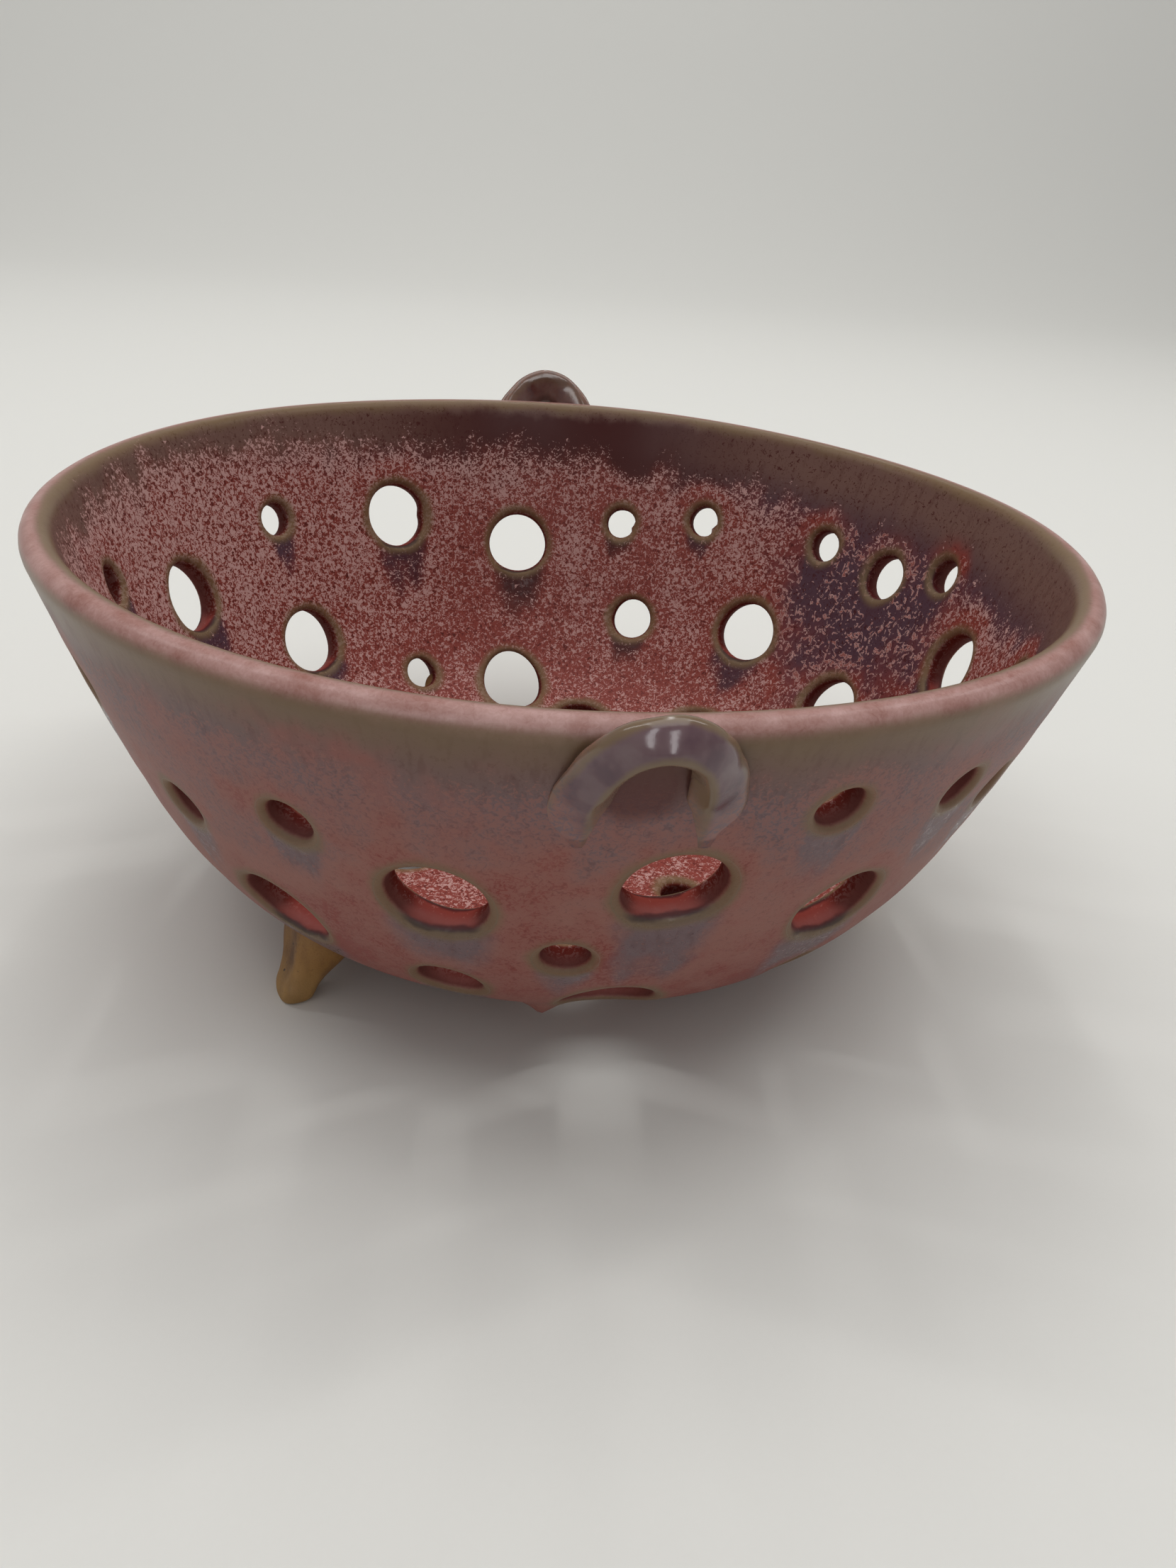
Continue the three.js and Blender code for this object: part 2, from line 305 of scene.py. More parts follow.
class Term:
    """A value in a node tree that can be added, multiplied and shaped."""

    __add__ = __radd__ = operation("ADD")
    __sub__ = operation("SUBTRACT")
    __mul__ = __rmul__ = operation("MULTIPLY")
    __truediv__ = operation("DIVIDE")
    sin = operation("SINE")
    cos = operation("COSINE")
    abs = operation("ABSOLUTE")

    def __init__(self, tree, socket):
        self.tree = tree
        self.socket = socket

    def maths(self, name, *others):
        """This value and others through one Math node."""
        node = self.tree.nodes.new("ShaderNodeMath")
        node.operation = name
        for slot, value in zip(node.inputs, (self, *others)):
            feed(self.tree, slot, value)
        return Term(self.tree, node.outputs[0])

    def __neg__(self):
        return self * -1.0

    def __rsub__(self, other):
        return -self + other

    def clamp(self):
        """This value kept between 0 and 1."""
        return self.maths("MAXIMUM", 0.0).maths("MINIMUM", 1.0)

    def ramp(self, low, high, start=0.0, end=1.0):
        """Runs smoothly from start to end while this value goes from low to high."""
        node = self.tree.nodes.new("ShaderNodeMapRange")
        node.interpolation_type = "SMOOTHSTEP"
        for name, value in (("From Min", low), ("From Max", high), ("To Min", start), ("To Max", end)):
            feed(self.tree, node.inputs[name], value)
        feed(self.tree, node.inputs["Value"], self)
        return Term(self.tree, node.outputs["Result"])


def feed(tree, slot, value):
    """Links a term or a socket to an input, or sets the input's own value."""
    if isinstance(value, Term):
        tree.links.new(value.socket, slot)
    elif isinstance(value, bpy.types.NodeSocket):
        tree.links.new(value, slot)
    else:
        slot.default_value = value


def add_node(tree, kind, settings=None, **inputs):
    """A new node with its settings and its inputs, whose names have spaces for underscores."""
    node = tree.nodes.new(kind)
    for name, value in (settings or {}).items():
        setattr(node, name, value)
    for name, value in inputs.items():
        feed(tree, node.inputs[name.replace("_", " ")], value)
    return node


def vector_maths(tree, operation, *values):
    """One vector operation; the output is a socket."""
    node = tree.nodes.new("ShaderNodeVectorMath")
    node.operation = operation
    for slot, value in zip(node.inputs, values):
        feed(tree, slot, value)
    return node.outputs["Vector"]


def scaled(tree, vector, amount):
    """A vector times a number."""
    node = add_node(tree, "ShaderNodeVectorMath", {"operation": "SCALE"}, Scale=amount)
    feed(tree, node.inputs[0], vector)
    return node.outputs["Vector"]


def distance(tree, vector, place):
    """How far a vector ends from a place."""
    node = add_node(tree, "ShaderNodeVectorMath", {"operation": "DISTANCE"})
    feed(tree, node.inputs[0], vector)
    feed(tree, node.inputs[1], place)
    return Term(tree, node.outputs["Value"])


def xyz(tree, x, y, z):
    """A vector from three numbers."""
    return add_node(tree, "ShaderNodeCombineXYZ", X=x, Y=y, Z=z).outputs["Vector"]


# Shaders.


def new_material(name):
    """A new material, its node tree and its Object coordinates."""
    material = bpy.data.materials.new(name)
    material.use_nodes = True
    tree = material.node_tree
    return material, tree, tree.nodes.new("ShaderNodeTexCoord").outputs["Object"]


def coat(tree, **inputs):
    """Links or sets inputs of a material's surface shader, whose names have spaces for underscores."""
    shader = tree.nodes["Principled BSDF"]
    for name, value in inputs.items():
        feed(tree, shader.inputs[name.replace("_", " ")], value)


def attribute(tree, name):
    """A number stored on the mesh."""
    node = add_node(tree, "ShaderNodeAttribute", {"attribute_name": name})
    return Term(tree, node.outputs["Fac"])


def noise(tree, vector, scale, detail=2.0, roughness=0.5, distortion=0.0):
    """Even noise between about 0.2 and 0.8."""
    node = add_node(
        tree,
        "ShaderNodeTexNoise",
        Vector=vector,
        Scale=scale,
        Detail=detail,
        Roughness=roughness,
        Distortion=distortion,
    )
    return Term(tree, node.outputs["Fac"])


def stretch(tree, vector, x, y, z, move=(0, 0, 0)):
    """Coordinates scaled along their axes."""
    node = add_node(tree, "ShaderNodeMapping", Vector=vector, Scale=(x, y, z), Location=move)
    return node.outputs["Vector"]


def blend(tree, share, low, high):
    """A colour between two others; the output is a socket."""
    node = tree.nodes.new("ShaderNodeMix")
    node.data_type = "RGBA"
    slots = [s for s in node.inputs if s.type == "RGBA"]
    feed(tree, node.inputs[0], share)
    for slot, value in zip(slots, (low, high)):
        feed(tree, slot, value if isinstance(value, bpy.types.NodeSocket) else (*value, 1))
    return next(s for s in node.outputs if s.type == "RGBA")


def relief(tree, height, depth, strength):
    """Fine relief for a shader's normal; the output is a socket."""
    node = add_node(tree, "ShaderNodeBump", Strength=strength, Distance=depth, Height=height)
    return node.outputs["Normal"]


def shell_glaze(colours):
    """Rose crystals over plum glaze that breaks to khaki on every edge and runs below the holes."""
    material, tree, place = new_material("rose_plum_glaze")
    edge = attribute(tree, "edge")
    run = attribute(tree, "run")
    halo = attribute(tree, "halo")
    lip = attribute(tree, "lip")
    inside = attribute(tree, "side").ramp(-0.4, 0.4, 1, 0)
    deep = lip.abs()

    flow = noise(tree, stretch(tree, place, 1, 1, 0.25), 90, 3.0) - 0.5
    cloud = noise(tree, place, 170, 3.0) - 0.5
    mist = noise(tree, stretch(tree, place, 1, 1, 0.7, (3, 1, 2)), 45, 2.0) - 0.5
    island = noise(tree, place, 800, 3.0, 0.6, 0.9)
    rice = noise(tree, place, 1400, 3.0, 0.62, 1.0)
    streak = noise(tree, stretch(tree, place, 1, 1, 0.1), 800, 2.0)
    aside = Term(tree, add_node(tree, "ShaderNodeSeparateXYZ", Vector=place).outputs["X"])

    # How thick the crystals lie, from none to all over.
    from_patch = distance(tree, place, PLUM_PATCH)
    patch = (from_patch + cloud * 0.022 + flow * 0.02).ramp(0.012, 0.036, 1, 0)
    reach = deep - aside * 60 + flow * 20 + cloud * 9
    sown_in = reach.ramp(4, 18) * (1 - patch * 0.3)
    warm_in = (reach + halo * 8).ramp(10, 22) * (1 - patch)
    sown_out = (deep + flow * 10 + cloud * 8).ramp(4, 16) * (1 - (mist + cloud * 0.5).ramp(0.05, 0.2) * 0.4)
    warm_out = (deep + flow * 22 + cloud * 36 + mist * 62).ramp(8, 34)
    wet = run.ramp(0.3, 0.9)
    run = (run + cloud * 1.2 + rice * 0.8 - 0.4).clamp() * run.ramp(0.0, 0.5)
    sown = ((sown_out + (sown_in - sown_out) * inside) - run * 0.48 + halo * 0.45).clamp()
    warm = ((warm_out + (warm_in - warm_out) * inside) - run * 1.2 + halo * 0.4).clamp()

    # Coarse islands in the bare patch, fine grains elsewhere.
    red = (flow * 2.6 + cloud * 1.6 + 0.35 + halo * 0.35 + deep.ramp(35, 60) * 0.4).clamp()
    over = rice + (island - rice) * patch.ramp(0.1, 0.5) - 0.79 + sown * 0.31
    right = aside.ramp(-0.075, -0.015, 0.25, 1)
    over = over - warm * (red * 0.085 + 0.012) * inside * right
    crystal = over.ramp(-0.008, 0.014)
    heart = over.ramp(0.03, 0.08) * patch.ramp(0.1, 0.5)

    ground_in = blend(tree, (deep + flow * 8).ramp(8, 20), colours.umber, colours.plum)
    ground_out = blend(tree, (deep + flow * 6).ramp(7, 16), colours.umber, colours.mauve)
    # Painted shade: the inner band under the lip is darkened to ember at the back.
    back_band_shade = aside.ramp(-0.055, -0.005) * aside.ramp(0.02, 0.06, 1, 0) * (deep + cloud * 6).ramp(3, 6)
    ground_in = blend(tree, back_band_shade, ground_in, colours.ember_and_shade)
    ground = blend(tree, inside, ground_out, ground_in)
    ground = blend(tree, streak.ramp(0.5, 0.7) * 0.25, ground, colours.ember_and_shade)
    pale = blend(tree, inside, colours.rose, colours.crystal)
    blush = (red * 0.7 + mist * 2.6 + cloud * 1.4) * deep.ramp(14, 32, 0.35, 1)
    flush = blend(tree, (1 - inside) * (0.95 - blush).clamp(), colours.coral, colours.rose)
    skin = blend(tree, warm, ground, flush)
    skin = blend(tree, rice.ramp(0.44, 0.34) * (inside * 0.6 + 0.25), skin, colours.ember_and_shade)
    skin = blend(tree, crystal * (inside * 0.42 + 0.55 - warm * inside * right * 0.15), skin, pale)
    skin = blend(tree, heart * 0.8, skin, flush)

    # Thin glaze along the lip and round the holes, and dark glaze pooled in the holes.
    pink = blend(tree, (cloud * 2 + rice).clamp(), colours.rose, colours.crystal)
    skin = blend(tree, (lip + 0.9 + cloud * 1.6).abs().ramp(0.8, 3.4, 1, 0) * 0.9, skin, pink)
    inner_line = (lip + cloud).ramp(0.5, 1.8) * (lip + cloud * 2 + flow * 3).ramp(2.0, 5.0, 1, 0)
    outer_line = (cloud * 2 - lip).ramp(1.6, 3.4) * (cloud * 4 + flow * 4 - lip).ramp(3, 10, 1, 0)
    skin = blend(tree, (inner_line * 0.8 + outer_line * 0.75), skin, colours.khaki)
    ring = (edge + cloud * 0.8).ramp(-1.9, -1.1) * (edge + cloud * 2 + flow * 2).ramp(-0.6, 1.4, 1, 0)
    skin = blend(tree, ring * 0.8, skin, colours.khaki)
    # The dark bore colour where no glaze has run is partly the glaze and partly painted shade inside the
    # holes.
    bore = (edge + cloud).ramp(-2.0, -1.2, 1, 0)
    skin = blend(tree, bore * 0.85, skin, blend(tree, wet, colours.bore, colours.coral))
    pool = wet * (edge + cloud * 3).ramp(-2.3, -1.7) * (edge + cloud * 3).ramp(-1.3, -0.7, 1, 0)
    skin = blend(tree, pool * 0.7, skin, colours.pool)

    # Painted shade: the outer wall under each lug is darkened to the bore's dark red.
    from_lug_shade = distance(tree, vector_maths(tree, "ABSOLUTE", place), LUG_SHADE_CENTRE)
    near = (from_lug_shade + cloud * 0.004).ramp(0.004, 0.0085, 1, 0)
    skin = blend(tree, near * (1 - inside) * 0.75, skin, colours.bore)

    dull = sown * 0.16 + 0.3 + rice * 0.08 + (edge + 0.5).ramp(-1.5, 0, 0.35, 0)
    coat(
        tree,
        Base_Color=skin,
        Roughness=dull - run * island.ramp(0.5, 0.62) * 0.22,
        Specular_IOR_Level=0.32 - bore * 0.12 - inside * 0.2,
        Normal=relief(tree, crystal * 0.5 + island * 0.4, 0.00012, 0.4),
    )
    return material


def strap_glaze(colours, roughness):
    """Purple glaze on the straps, thin and khaki along both edges."""
    material, tree, place = new_material("strap_glaze")
    across = attribute(tree, "across").abs()
    face = attribute(tree, "face")
    root = attribute(tree, "root")
    cloud = noise(tree, place, 230, 3.0) - 0.5
    grain = noise(tree, place, 1150, 3.0, 0.6, 1.0)
    body = blend(tree, (cloud * 3 + 0.3).clamp(), colours.lug, colours.mauve)
    body = blend(tree, (cloud * -3 + 0.2).clamp(), body, colours.plum)
    smear = (root + cloud * 0.6).ramp(0.25, 0.9)
    body = blend(tree, smear * 0.7, body, blend(tree, grain.ramp(0.4, 0.52), colours.mauve, colours.rose))
    # The strap's inner face is darkened to dark red and umber: partly its glaze, partly painted shade.
    underside_glaze_and_shade = (face + cloud * 0.6).ramp(-0.2, -0.8)
    back = blend(tree, (cloud * 2.5 + 0.5).clamp(), colours.bore, colours.umber)
    body = blend(tree, underside_glaze_and_shade * 0.85, body, back)
    edge = (across + cloud * 0.35).ramp(0.52, 0.86) * (1 - smear * 0.5)
    body = blend(tree, edge * 0.85, body, colours.khaki)
    coat(tree, Base_Color=body, Roughness=roughness, Normal=relief(tree, cloud + grain * 0.2, 0.0002, 0.25))
    return material


def bare_clay(colours):
    """Toasted bare stoneware with fine grog, pits and finger smears."""
    material, tree, place = new_material("bare_clay")
    hollow = attribute(tree, "hollow")
    height = attribute(tree, "height")
    smear = noise(tree, stretch(tree, place, 1, 1, 0.35), 320, 3.0)
    grog = noise(tree, place, 2400, 3.0, 0.65)
    pits = noise(tree, place, 900, 1.0)
    # Painted shade: the thumbed hollow is darkened towards the dark clay; the smears are the clay's own
    # toasting.
    body = blend(tree, (smear.ramp(0.35, 0.68) * 0.6 + hollow * 0.3).clamp(), colours.clay, colours.clay_toast_and_shade)
    body = blend(tree, grog.ramp(0.56, 0.7) * 0.35, body, colours.clay_toast_and_shade)
    body = blend(tree, (height + smear * 0.3).ramp(0.25, 0.7, 0.4, 0), body, colours.clay_pale)
    body = blend(tree, height.ramp(0.82, 1.0) * 0.6, body, colours.clay_toast_and_shade)
    body = blend(tree, pits.ramp(0.27, 0.22), body, colours.pit)
    height = grog * 0.5 + smear - pits.ramp(0.3, 0.2) * 0.8
    coat(tree, Base_Color=body, Roughness=grog * 0.3 + 0.42, Normal=relief(tree, height, 0.0003, 0.5))
    return material


# Thrown shell.


class WallLine:
    """The middle line of the wall by arc length in millimetres, floor centre first."""

    step = 0.25
    floor_steps = 80
    knot_steps = 60
    smooth_steps = 28

    def __init__(self, shell):
        self.wall = shell.wall / MM
        self.rim_radius = shell.rim_radius / MM
        self.rim_height = shell.rim_height / MM
        lip = np.array((self.rim_radius - self.wall / 2, self.rim_height - self.wall / 2))
        knots = np.array(WALL_SHARES) * lip
        rough = np.vstack((self.floor(knots[0]), self.spline(knots)))
        run = np.concatenate(((0.0,), np.cumsum(np.hypot(*np.diff(rough, axis=0).T))))
        self.s = np.linspace(0, run[-1], int(run[-1] / self.step) + 1)
        even = np.stack([np.interp(self.s, run, rough[:, i]) for i in (0, 1)], -1)
        slope = self.smoothed(np.arctan2(*np.gradient(even, axis=0).T[::-1]))
        gap = self.s[1]
        self.r = np.cumsum(np.cos(slope)) * gap - gap * np.cos(slope[0])
        self.z = knots[0][1] + np.cumsum(np.sin(slope)) * gap
        self.r *= lip[0] / self.r[-1]
        self.z = knots[0][1] + (self.z - self.z[0]) * (lip[1] - knots[0][1]) / (self.z[-1] - self.z[0])
        self.slope = slope
        self.end = self.s[-1]

    def floor(self, knot):
        """The level floor from its centre to the first knot."""
        r = np.linspace(0, knot[0], self.floor_steps, endpoint=False)
        return np.stack((r, np.full(self.floor_steps, knot[1])), -1)

    def spline(self, knots):
        """The same uniform spline through the knots that the solid has."""
        padded = np.vstack((knots[:1], knots, knots[-1:]))
        pieces = []
        t = np.linspace(0, 1, self.knot_steps, endpoint=False)[:, None]
        for before, start, end, after in zip(padded, padded[1:], padded[2:], padded[3:]):
            v0 = (end - before) / 2
            v1 = (after - start) / 2
            cubic = 2 * start - 2 * end + v0 + v1
            square = 3 * end - 3 * start - 2 * v0 - v1
            pieces.append(cubic * t**3 + square * t**2 + v0 * t + start)
        return np.vstack((*pieces, knots[-1:]))

    def smoothed(self, values):
        """Values averaged with their neighbours."""
        width = self.smooth_steps
        padded = np.concatenate((np.full(width, values[0]), values, np.full(width, values[-1])))
        kernel = np.hanning(2 * width + 1)
        return np.convolve(padded, kernel / kernel.sum(), mode="valid")

    def at_height(self, height):
        return float(np.interp(height, self.z, self.s))

    def at_radius(self, radius):
        return float(np.interp(radius, self.r, self.s))

    def radius(self, s):
        return np.interp(s, self.s, self.r)

    def tilt(self, s):
        """Angle of the wall's middle line above level."""
        return np.interp(s, self.s, self.slope)

    def surface(self, x, y, depth):
        """Points at a depth off the middle line, from places on the unrolled disc."""
        s = np.hypot(x, y)
        turn = np.arctan2(y, x)
        tilt = self.tilt(s)
        r = self.radius(s) + depth * np.sin(tilt)
        z = np.interp(s, self.s, self.z) - depth * np.cos(tilt)
        return np.stack((r * np.cos(turn), r * np.sin(turn), z), -1)


class Hole:
    """One drain hole on the unrolled wall, tipped as its cutter was, or square to the floor."""

    small_round = 0.85
    least_count = 20

    def __init__(self, line, azimuth, s, bore, tip, shell, draw):
        self.line = line
        self.azimuth = math.radians(azimuth)
        self.s = s
        self.bore = bore / 2
        self.round = shell.hole_round / MM * (1 if bore > SMALL else self.small_round)
        self.flat = tip is None
        lean = 0.0 if self.flat else float(line.tilt(s)) - math.pi / 2 + tip
        self.shear = -math.tan(lean)
        self.long = 1 / math.cos(lean)
        self.phases = draw.uniform(0, 2 * math.pi, 4)
        self.drip = (5.0 + bore * 0.55) * draw.uniform(0.6, 1.25)
        self.nub = NUBS.get(azimuth)
        around = 2 * math.pi * (self.bore + self.round)
        self.count = max(self.least_count, round(around / (shell.mesh_step / MM)))
        self.turns = np.arange(self.count) * 2 * math.pi / self.count

    def ring(self, grow, depth, neck=0.0):
        """The bore's outline on the unrolled disc, grown outward, at a depth off the middle line."""
        turn = self.turns
        bore = self.bore * (
            1 + 0.016 * np.cos(2 * turn + self.phases[0]) + 0.011 * np.cos(3 * turn + self.phases[1])
        )
        if self.nub and neck:
            near = (turn - math.radians(self.nub[0]) + math.pi) % (2 * math.pi) - math.pi
            bore = bore - neck * self.nub[1] * np.exp(-((near / NUB_SPREAD) ** 2))
        across = (bore + grow) * np.cos(turn)
        up = (bore * self.long + grow) * np.sin(turn) + depth * self.shear
        return self.disc(across, up)

    def disc(self, across, up):
        """Places on the unrolled disc, from distances across and up from the hole's centre."""
        s = self.s + up
        if self.flat:
            c, d = math.cos(self.azimuth), math.sin(self.azimuth)
            return s * c - across * d, s * d + across * c
        turn = self.azimuth + across / self.line.radius(s)
        return s * np.cos(turn), s * np.sin(turn)

    def local(self, x, y, depth):
        """Distances across and up from the hole's centre at a depth, in millimetres on the wall."""
        if self.flat:
            c, d = math.cos(self.azimuth), math.sin(self.azimuth)
            return y * c - x * d, x * c + y * d - self.s
        s = np.hypot(x, y)
        turn = (np.arctan2(y, x) - self.azimuth + math.pi) % (2 * math.pi) - math.pi
        return turn * self.line.radius(s), s - self.s - depth * self.shear

    def clear(self, x, y, depth):
        """Distance from the hole's rolled edge."""
        across, up = self.local(x, y, depth)
        return np.hypot(across, up / self.long) - self.bore - self.round


def smooth(value, low, high):
    """Runs smoothly from 0 to 1 while a value goes from low to high."""
    share = np.clip((value - low) / (high - low), 0, 1)
    return share * share * (3 - 2 * share)


# What the shell's points carry for the glaze: distances in millimetres from the nearest hole's edge and the
# lip (positive inside), runs below and halos above the holes, and the outer or inner side.
GLAZE_MARKS = ("edge", "run", "halo", "lip", "side")
FAR = 60.0


class ShellMesh:
    """Gathers the shell's points, faces and glaze marks."""

    def __init__(self, shell):
        self.line = WallLine(shell)
        self.half = self.line.wall / 2
        self.step = shell.mesh_step / MM
        draw = np.random.default_rng(shell.seed)
        self.holes = []
        for azimuth, percent, bore in WALL_HOLES:
            s = self.line.at_height(self.line.rim_height * percent / 100)
            self.holes.append(Hole(self.line, azimuth, s, bore, shell.cutter_tip, shell, draw))
        for azimuth, percent, bore in FLOOR_HOLES:
            s = self.line.at_radius(self.line.rim_radius * percent / 100)
            self.holes.append(Hole(self.line, azimuth, s, bore, None, shell, draw))
        self.rim_count = round(2 * math.pi * self.line.radius(self.line.end) / self.step)
        self.points = []
        self.marks = {name: [] for name in GLAZE_MARKS}
        self.faces = []
        self.total = 0

    def add(self, points, **marks):
        """Adds points with their marks; the output is the first one's number."""
        first = self.total
        self.points.append(points)
        for name, values in self.marks.items():
            values.append(np.broadcast_to(marks[name], len(points)).astype(np.float32))
        self.total += len(points)
        return first

    def glaze_marks(self, x, y, depth):
        """Distance to the nearest hole, runs below the holes and halos above them."""
        edge = np.full(len(x), FAR)
        run = np.zeros(len(x))
        halo = np.zeros(len(x))
        steep = smooth(np.sin(self.line.tilt(np.hypot(x, y))), 0.3, 0.75)
        for hole in self.holes:
            across, up = hole.local(x, y, depth)
            clear = np.hypot(across, up / hole.long) - hole.bore - hole.round
            edge = np.minimum(edge, clear)
            if hole.flat:
                continue
            drop = -up - hole.bore * hole.long
            spread = 1.5 if depth > 0 else 1.0
            reach = hole.drip * 1.3 * spread
            half = (hole.bore * 0.95 + 0.6) * (0.6 + 0.4 * spread) * (1 - 0.5 * smooth(drop, 0.0, reach))
            finger = 1 + 0.2 * np.cos(across * 0.9 + hole.phases[2])
            finger = finger + 0.06 * np.cos(across * 1.9 + hole.phases[3])
            wide = 1 - smooth(np.abs(across), half * 0.35, half * 1.25)
            tall = smooth(drop, -hole.bore * 0.9, 0.5) * (1 - smooth(drop * finger, 0.0, reach))
            run = np.maximum(run, wide * tall * steep)
            above = (1 - smooth(clear, 0.5, 5.5)) * smooth(up, -0.3 * hole.bore, 0.8 * hole.bore)
            halo = np.maximum(halo, above * steep)
        return edge, run, halo

    def skin(self, depth):
        """One face of the wall: a disc with the holes left out, laid on the wall at that depth."""
        loops = [np.stack(hole.ring(hole.round, depth), -1) for hole in self.holes]
        turns = np.arange(self.rim_count) * 2 * math.pi / self.rim_count
        rim = self.line.end * np.stack((np.cos(turns), np.sin(turns)), -1)
        spare = self.filling(depth)
        fixed = np.vstack((rim, *loops))
        edges = []
        first = 0
        for loop in (rim, *loops):
            edges += [(first + k, first + (k + 1) % len(loop)) for k in range(len(loop))]
            first += len(loop)
        flat = [Vector((float(a), float(b))) for a, b in np.vstack((fixed, spare))]
        out, _, faces, origin, _, _ = delaunay_2d_cdt(flat, edges, [], 0, 1e-6)
        found = {}
        for place, sources in enumerate(origin):
            for source in sources:
                found[source] = place
        loop_of = np.full(len(out), -1)
        rows = []
        first = 0
        for order, loop in enumerate((rim, *loops)):
            row = np.array([found[first + k] for k in range(len(loop))])
            if order:
                loop_of[row] = order
            rows.append(row)
            first += len(loop)
        tris = np.array(faces)
        corner = loop_of[tris]
        inside = (corner[:, 0] > 0) & (corner[:, 0] == corner[:, 1]) & (corner[:, 1] == corner[:, 2])
        tris = tris[~inside]
        flat = np.array([(v.x, v.y) for v in out])
        x, y = flat.T
        edge, run, halo = self.glaze_marks(x, y, depth)
        outer = depth > 0
        away = self.line.end - np.hypot(x, y) + math.pi * self.half / 2
        points = self.line.surface(x, y, depth)
        start = self.add(
            points, edge=edge, run=run, halo=halo, lip=-away if outer else away, side=1.0 if outer else -1.0
        )
        self.faces.append((tris[:, ::-1] if outer else tris) + start)
        return [row + start for row in rows]

    def filling(self, depth):
        """Points to mesh one face with: an even grid, and close rings round every hole."""
        grid = self.grid()
        far = np.min([hole.clear(*grid.T, depth) for hole in self.holes], axis=0)
        points = [grid[far > 3.2]]
        for hole in self.holes:
            rings = np.hstack([hole.ring(hole.round + more, depth) for more in (0.45, 1.0, 1.7, 2.6)]).T
            others = [other.clear(*rings.T, depth) for other in self.holes if other is not hole]
            points.append(rings[np.min(others, axis=0) > 0.6])
        points = np.vstack(points)
        return points[np.hypot(*points.T) < self.line.end - self.step * 0.6]

    def grid(self):
        """Points spread evenly over the unrolled disc, ring by ring."""
        rows = [np.zeros((1, 2))]
        for i, s in enumerate(np.arange(self.step, self.line.end - self.step * 0.6, self.step)):
            count = max(6, round(2 * math.pi * self.line.radius(s) / self.step))
            turn = (np.arange(count) + 0.5 * (i % 2)) * 2 * math.pi / count
            rows.append(s * np.stack((np.cos(turn), np.sin(turn)), -1))
        return np.vstack(rows)

    def strip(self, upper, lower):
        """Faces between two closed rows of points."""
        a, b = np.asarray(upper), np.asarray(lower)
        a2, b2 = np.roll(a, -1), np.roll(b, -1)
        self.faces.append(np.stack((a, a2, b), -1))
        self.faces.append(np.stack((a2, b2, b), -1))

    def bores(self, outer, inner):
        """Rolled edges and bores that join the two faces of the wall."""
        bends = np.radians((18, 36, 54, 72, 90))
        for hole, top, bottom in zip(self.holes, outer, inner):
            grows = hole.round * (1 - np.sin(bends))
            depths = self.half - hole.round * (1 - np.cos(bends))
            rows = list(zip(grows, depths, bends))
            rows += [(0.0, 0.0, math.pi / 2 + 0.4)]
            rows += [(grow, -depth, bend) for grow, depth, bend in rows[-2::-1]]
            last = top
            for grow, depth, bend in rows:
                neck = 1 - (depth / self.half) ** 2
                x, y = hole.ring(grow, depth, neck)
                _, run, halo = self.glaze_marks(x, y, depth)
                if hole.bore < LARGE / 2:
                    run = run * SMALL_HOLE_RUN
                start = self.add(
                    self.line.surface(x, y, depth),
                    edge=-bend * hole.round,
                    run=run,
                    halo=halo,
                    lip=FAR,
                    side=depth / self.half,
                )
                row = np.arange(hole.count) + start
                self.strip(last, row)
                last = row
            self.strip(last, bottom)

    def lip(self, outer, inner):
        """The rounded lip between the two faces of the wall."""
        turns = np.arange(self.rim_count) * 2 * math.pi / self.rim_count
        tilt = float(self.line.tilt(self.line.end))
        middle = (self.line.r[-1], self.line.z[-1])
        last = outer
        for bend in np.linspace(0, math.pi, 12)[1:-1]:
            swing = tilt - math.pi / 2 + bend
            r = middle[0] + self.half * math.cos(swing)
            z = middle[1] + self.half * math.sin(swing)
            points = np.stack((r * np.cos(turns), r * np.sin(turns), np.full(self.rim_count, z)), -1)
            start = self.add(
                points,
                edge=FAR,
                run=0.0,
                halo=0.0,
                lip=(bend - math.pi / 2) * self.half,
                side=math.cos(bend),
            )
            row = np.arange(self.rim_count) + start
            self.strip(last, row)
            last = row
        self.strip(last, inner)

    def hand_made(self, points, waviness):
        """The unevenness of a bowl thrown by hand, and one drip of glaze under the front."""
        x, y, z = points.T
        turn = np.arctan2(y, x)
        high = np.clip(z / self.line.rim_height, 0, 1)
        r = np.hypot(x, y)
        swell = waviness * high * (0.6 * np.cos(2 * turn + 0.7) + 0.3 * np.cos(3 * turn + 2.1))
        swell += 0.03 * np.cos(z * 0.9 + 0.6 * np.cos(turn * 2)) * smooth(z, 14, 24) * (1 - smooth(z, 62, 70))
        grow = 1 + swell / np.maximum(r, 20)
        sway = waviness * high**2 * (0.5 * np.cos(2 * turn + 2.4) + 0.4 * np.cos(5 * turn))
        moved = np.stack((x * grow, y * grow, z + sway), -1)
        aim = math.radians(DRIP_AZIMUTH)
        spot = (DRIP_RADIUS * math.cos(aim), DRIP_RADIUS * math.sin(aim), DRIP_HEIGHT)
        near = np.linalg.norm((points - spot) * (1, 1, 0.8), axis=1)
        moved[:, 2] -= DRIP_LENGTH * np.exp(-((near / DRIP_WIDTH) ** 2))
        return moved

    def build(self, waviness):
        """The whole shell: points in metres, faces and marks."""
        outer = self.skin(self.half)
        inner = self.skin(-self.half)
        self.bores(outer[1:], inner[1:])
        self.lip(outer[0], inner[0])
        points = self.hand_made(np.vstack(self.points), waviness) * MM
        faces = np.vstack(self.faces)
        marks = {name: np.concatenate(values) for name, values in self.marks.items()}
        return points, faces, marks


